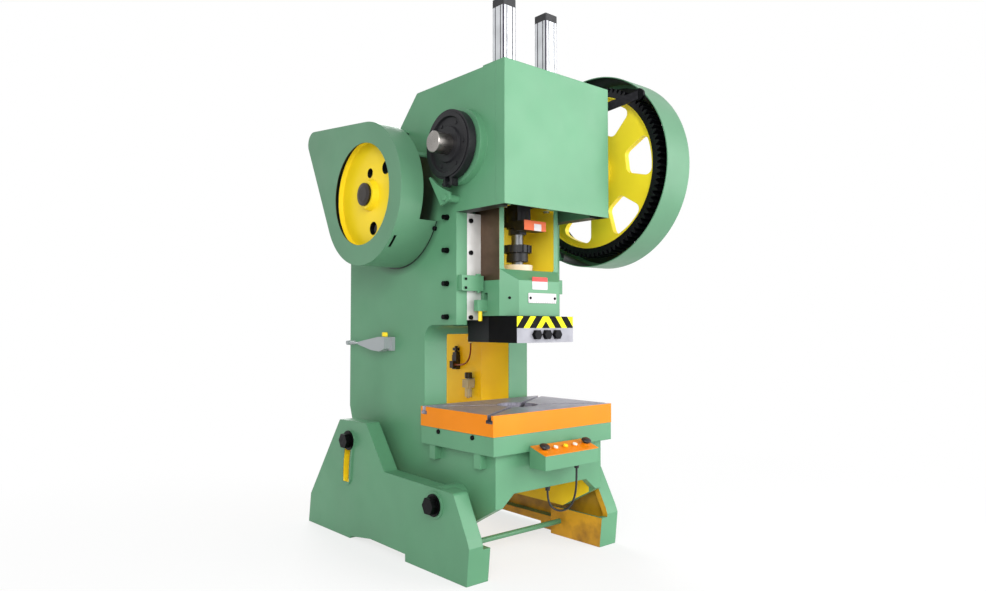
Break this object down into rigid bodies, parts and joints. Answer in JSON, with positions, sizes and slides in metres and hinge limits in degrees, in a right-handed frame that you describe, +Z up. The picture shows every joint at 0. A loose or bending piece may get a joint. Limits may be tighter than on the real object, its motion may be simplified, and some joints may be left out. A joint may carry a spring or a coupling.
{
  "type": "mechanical stamping press",
  "caption": "Open-back inclinable crank press that drives a guided slide against a bolster plate to punch and form sheet metal.",
  "frame": {"origin": "on the floor, below the crank line, midway between the two front anchor holes", "axes": "+X to the press's right seen from the front, +Y to the back, +Z up"},
  "size_m": [1.06, 1.4122, 2.19],
  "materials": {
    "green_paint": "satin",
    "guard_paint": "satin",
    "yellow_paint": "gloss",
    "orange_paint": "satin",
    "slide_paint": "satin",
    "motor_paint": "satin",
    "grey_paint": "satin",
    "cast_iron": "rough",
    "dark_steel": "oiled",
    "ground_steel": "ground",
    "bronze": "turned",
    "extruded_aluminium": "anodised",
    "black_plastic": "moulded",
    "white_plastic": "moulded",
    "yellow_plastic": "moulded",
    "belt_rubber": "matte",
    "cable_rubber": "matte",
    "tube_plastic": "extruded",
    "lining": "woven"
  },
  "bodies": {
    "floor_stand": {"leg_left": "green_paint", "leg_right": "green_paint", "tie_rod": "ground_steel"},
    "press_frame": {"frame_casting": "green_paint", "head_cover": "green_paint", "bolster_plate": "orange_paint", "leg_bolts": "dark_steel", "gib_left": "ground_steel", "gib_right": "ground_steel", "gib_bolts": "dark_steel", "stop_brackets": "green_paint", "crank_bushes": "bronze", "shaft_bushes": "bronze", "brake_band": "lining", "brake_bracket": "green_paint", "flywheel_guard": "guard_paint", "gear_guard": "guard_paint", "gear_guard_strap": "dark_steel", "motor_bracket": "green_paint", "motor_housing": "motor_paint", "v_belts": "belt_rubber", "cylinder_tubes": "extruded_aluminium", "cylinder_caps": "black_plastic", "control_box": "green_paint", "control_panel": "orange_paint", "control_cable": "cable_rubber", "cable_glands": "black_plastic", "valve_body": "grey_paint", "air_regulator": "extruded_aluminium", "solenoid_valve": "black_plastic", "tube_elbow": "white_plastic", "air_tube": "tube_plastic"},
    "crank": {"crankshaft": "cast_iron", "brake_drum": "cast_iron", "gear_end_plate": "ground_steel"},
    "rod": {"connecting_rod": "cast_iron", "rod_cap": "cast_iron", "rod_cap_bolts": "dark_steel", "adjusting_screw": "ground_steel", "screw_nuts": "dark_steel"},
    "ram": {"slide": "slide_paint", "ball_seat": "bronze", "ball_cover": "dark_steel", "slide_foot": "cast_iron", "clamp_block": "cast_iron", "clamp_bolts": "dark_steel", "piston_rods": "ground_steel"},
    "knockout": {"knockout_bar": "dark_steel"},
    "big_gear": {"main_gear": "yellow_paint", "gear_bush": "bronze"},
    "drive": {"drive_shaft": "dark_steel", "pinion": "dark_steel", "flywheel": "yellow_paint"},
    "motor_rotor": {"motor_pulley": "cast_iron"},
    "left_palm": {"palm_button_left": "black_plastic"},
    "right_palm": {"palm_button_right": "black_plastic"},
    "left_button": {"small_button_left": "white_plastic"},
    "middle_button": {"small_button_middle": "yellow_plastic"},
    "right_button": {"small_button_right": "white_plastic"},
    "valve_handle": {"valve_knob": "yellow_plastic"}
  },
  "joints": [
    {"name": "frame_tilt", "type": "hinge", "parent": "floor_stand", "child": "press_frame", "pos_m": [0, 0.015, 0.25], "axis": [-1, 0, 0], "range_deg": [0, 14]},
    {"name": "crank_turn", "type": "hinge", "parent": "press_frame", "child": "crank", "pos_m": [0, 0, 1.587], "axis": [-1, 0, 0], "range_deg": [0, 180]},
    {"name": "rod_swing", "type": "hinge", "parent": "crank", "child": "rod", "pos_m": [0, 0, 1.627], "axis": [-1, 0, 0], "range_deg": [-180, 0]},
    {"name": "slide_stroke", "type": "slide", "parent": "press_frame", "child": "ram", "axis": [0, 0, 1], "range_m": [-0.08, 0]},
    {"name": "knockout_lift", "type": "slide", "parent": "ram", "child": "knockout", "axis": [0, 0, 1], "range_m": [0, 0.028]},
    {"name": "gear_spin", "type": "hinge", "parent": "press_frame", "child": "big_gear", "pos_m": [0, 0, 1.587], "axis": [1, 0, 0], "continuous": true},
    {"name": "drive_spin", "type": "hinge", "parent": "press_frame", "child": "drive", "pos_m": [0, 0.433, 1.444], "axis": [1, 0, 0], "continuous": true},
    {"name": "motor_spin", "type": "hinge", "parent": "press_frame", "child": "motor_rotor", "pos_m": [0, 0.815, 1.7], "axis": [1, 0, 0], "continuous": true},
    {"name": "valve_turn", "type": "hinge", "parent": "press_frame", "child": "valve_handle", "pos_m": [-0.316, 0.487, 0.87], "axis": [0, 0, 1], "range_deg": [0, 90]},
    {"name": "left_palm_push", "type": "slide", "parent": "press_frame", "child": "left_palm", "axis": [0, 0.3161, -0.9487], "range_m": [0, 0.006], "stiffness_N_per_m": 400, "springref_m": -0.003},
    {"name": "right_palm_push", "type": "slide", "parent": "press_frame", "child": "right_palm", "axis": [0, 0.3161, -0.9487], "range_m": [0, 0.006], "stiffness_N_per_m": 400, "springref_m": -0.003},
    {"name": "left_button_push", "type": "slide", "parent": "press_frame", "child": "left_button", "axis": [0, 0.3161, -0.9487], "range_m": [0, 0.004], "stiffness_N_per_m": 400, "springref_m": -0.003},
    {"name": "middle_button_push", "type": "slide", "parent": "press_frame", "child": "middle_button", "axis": [0, 0.3161, -0.9487], "range_m": [0, 0.004], "stiffness_N_per_m": 400, "springref_m": -0.003},
    {"name": "right_button_push", "type": "slide", "parent": "press_frame", "child": "right_button", "axis": [0, 0.3161, -0.9487], "range_m": [0, 0.004], "stiffness_N_per_m": 400, "springref_m": -0.003}
  ],
  "couplings": [
    {"joint": "rod_swing", "follows": "crank_turn", "ratio": -1},
    {"joint": "slide_stroke", "follows": "crank_turn", "m_per_rad": -0.025465},
    {"joint": "drive_spin", "follows": "gear_spin", "ratio": -4.1818},
    {"joint": "motor_spin", "follows": "gear_spin", "ratio": -21.07}
  ]
}
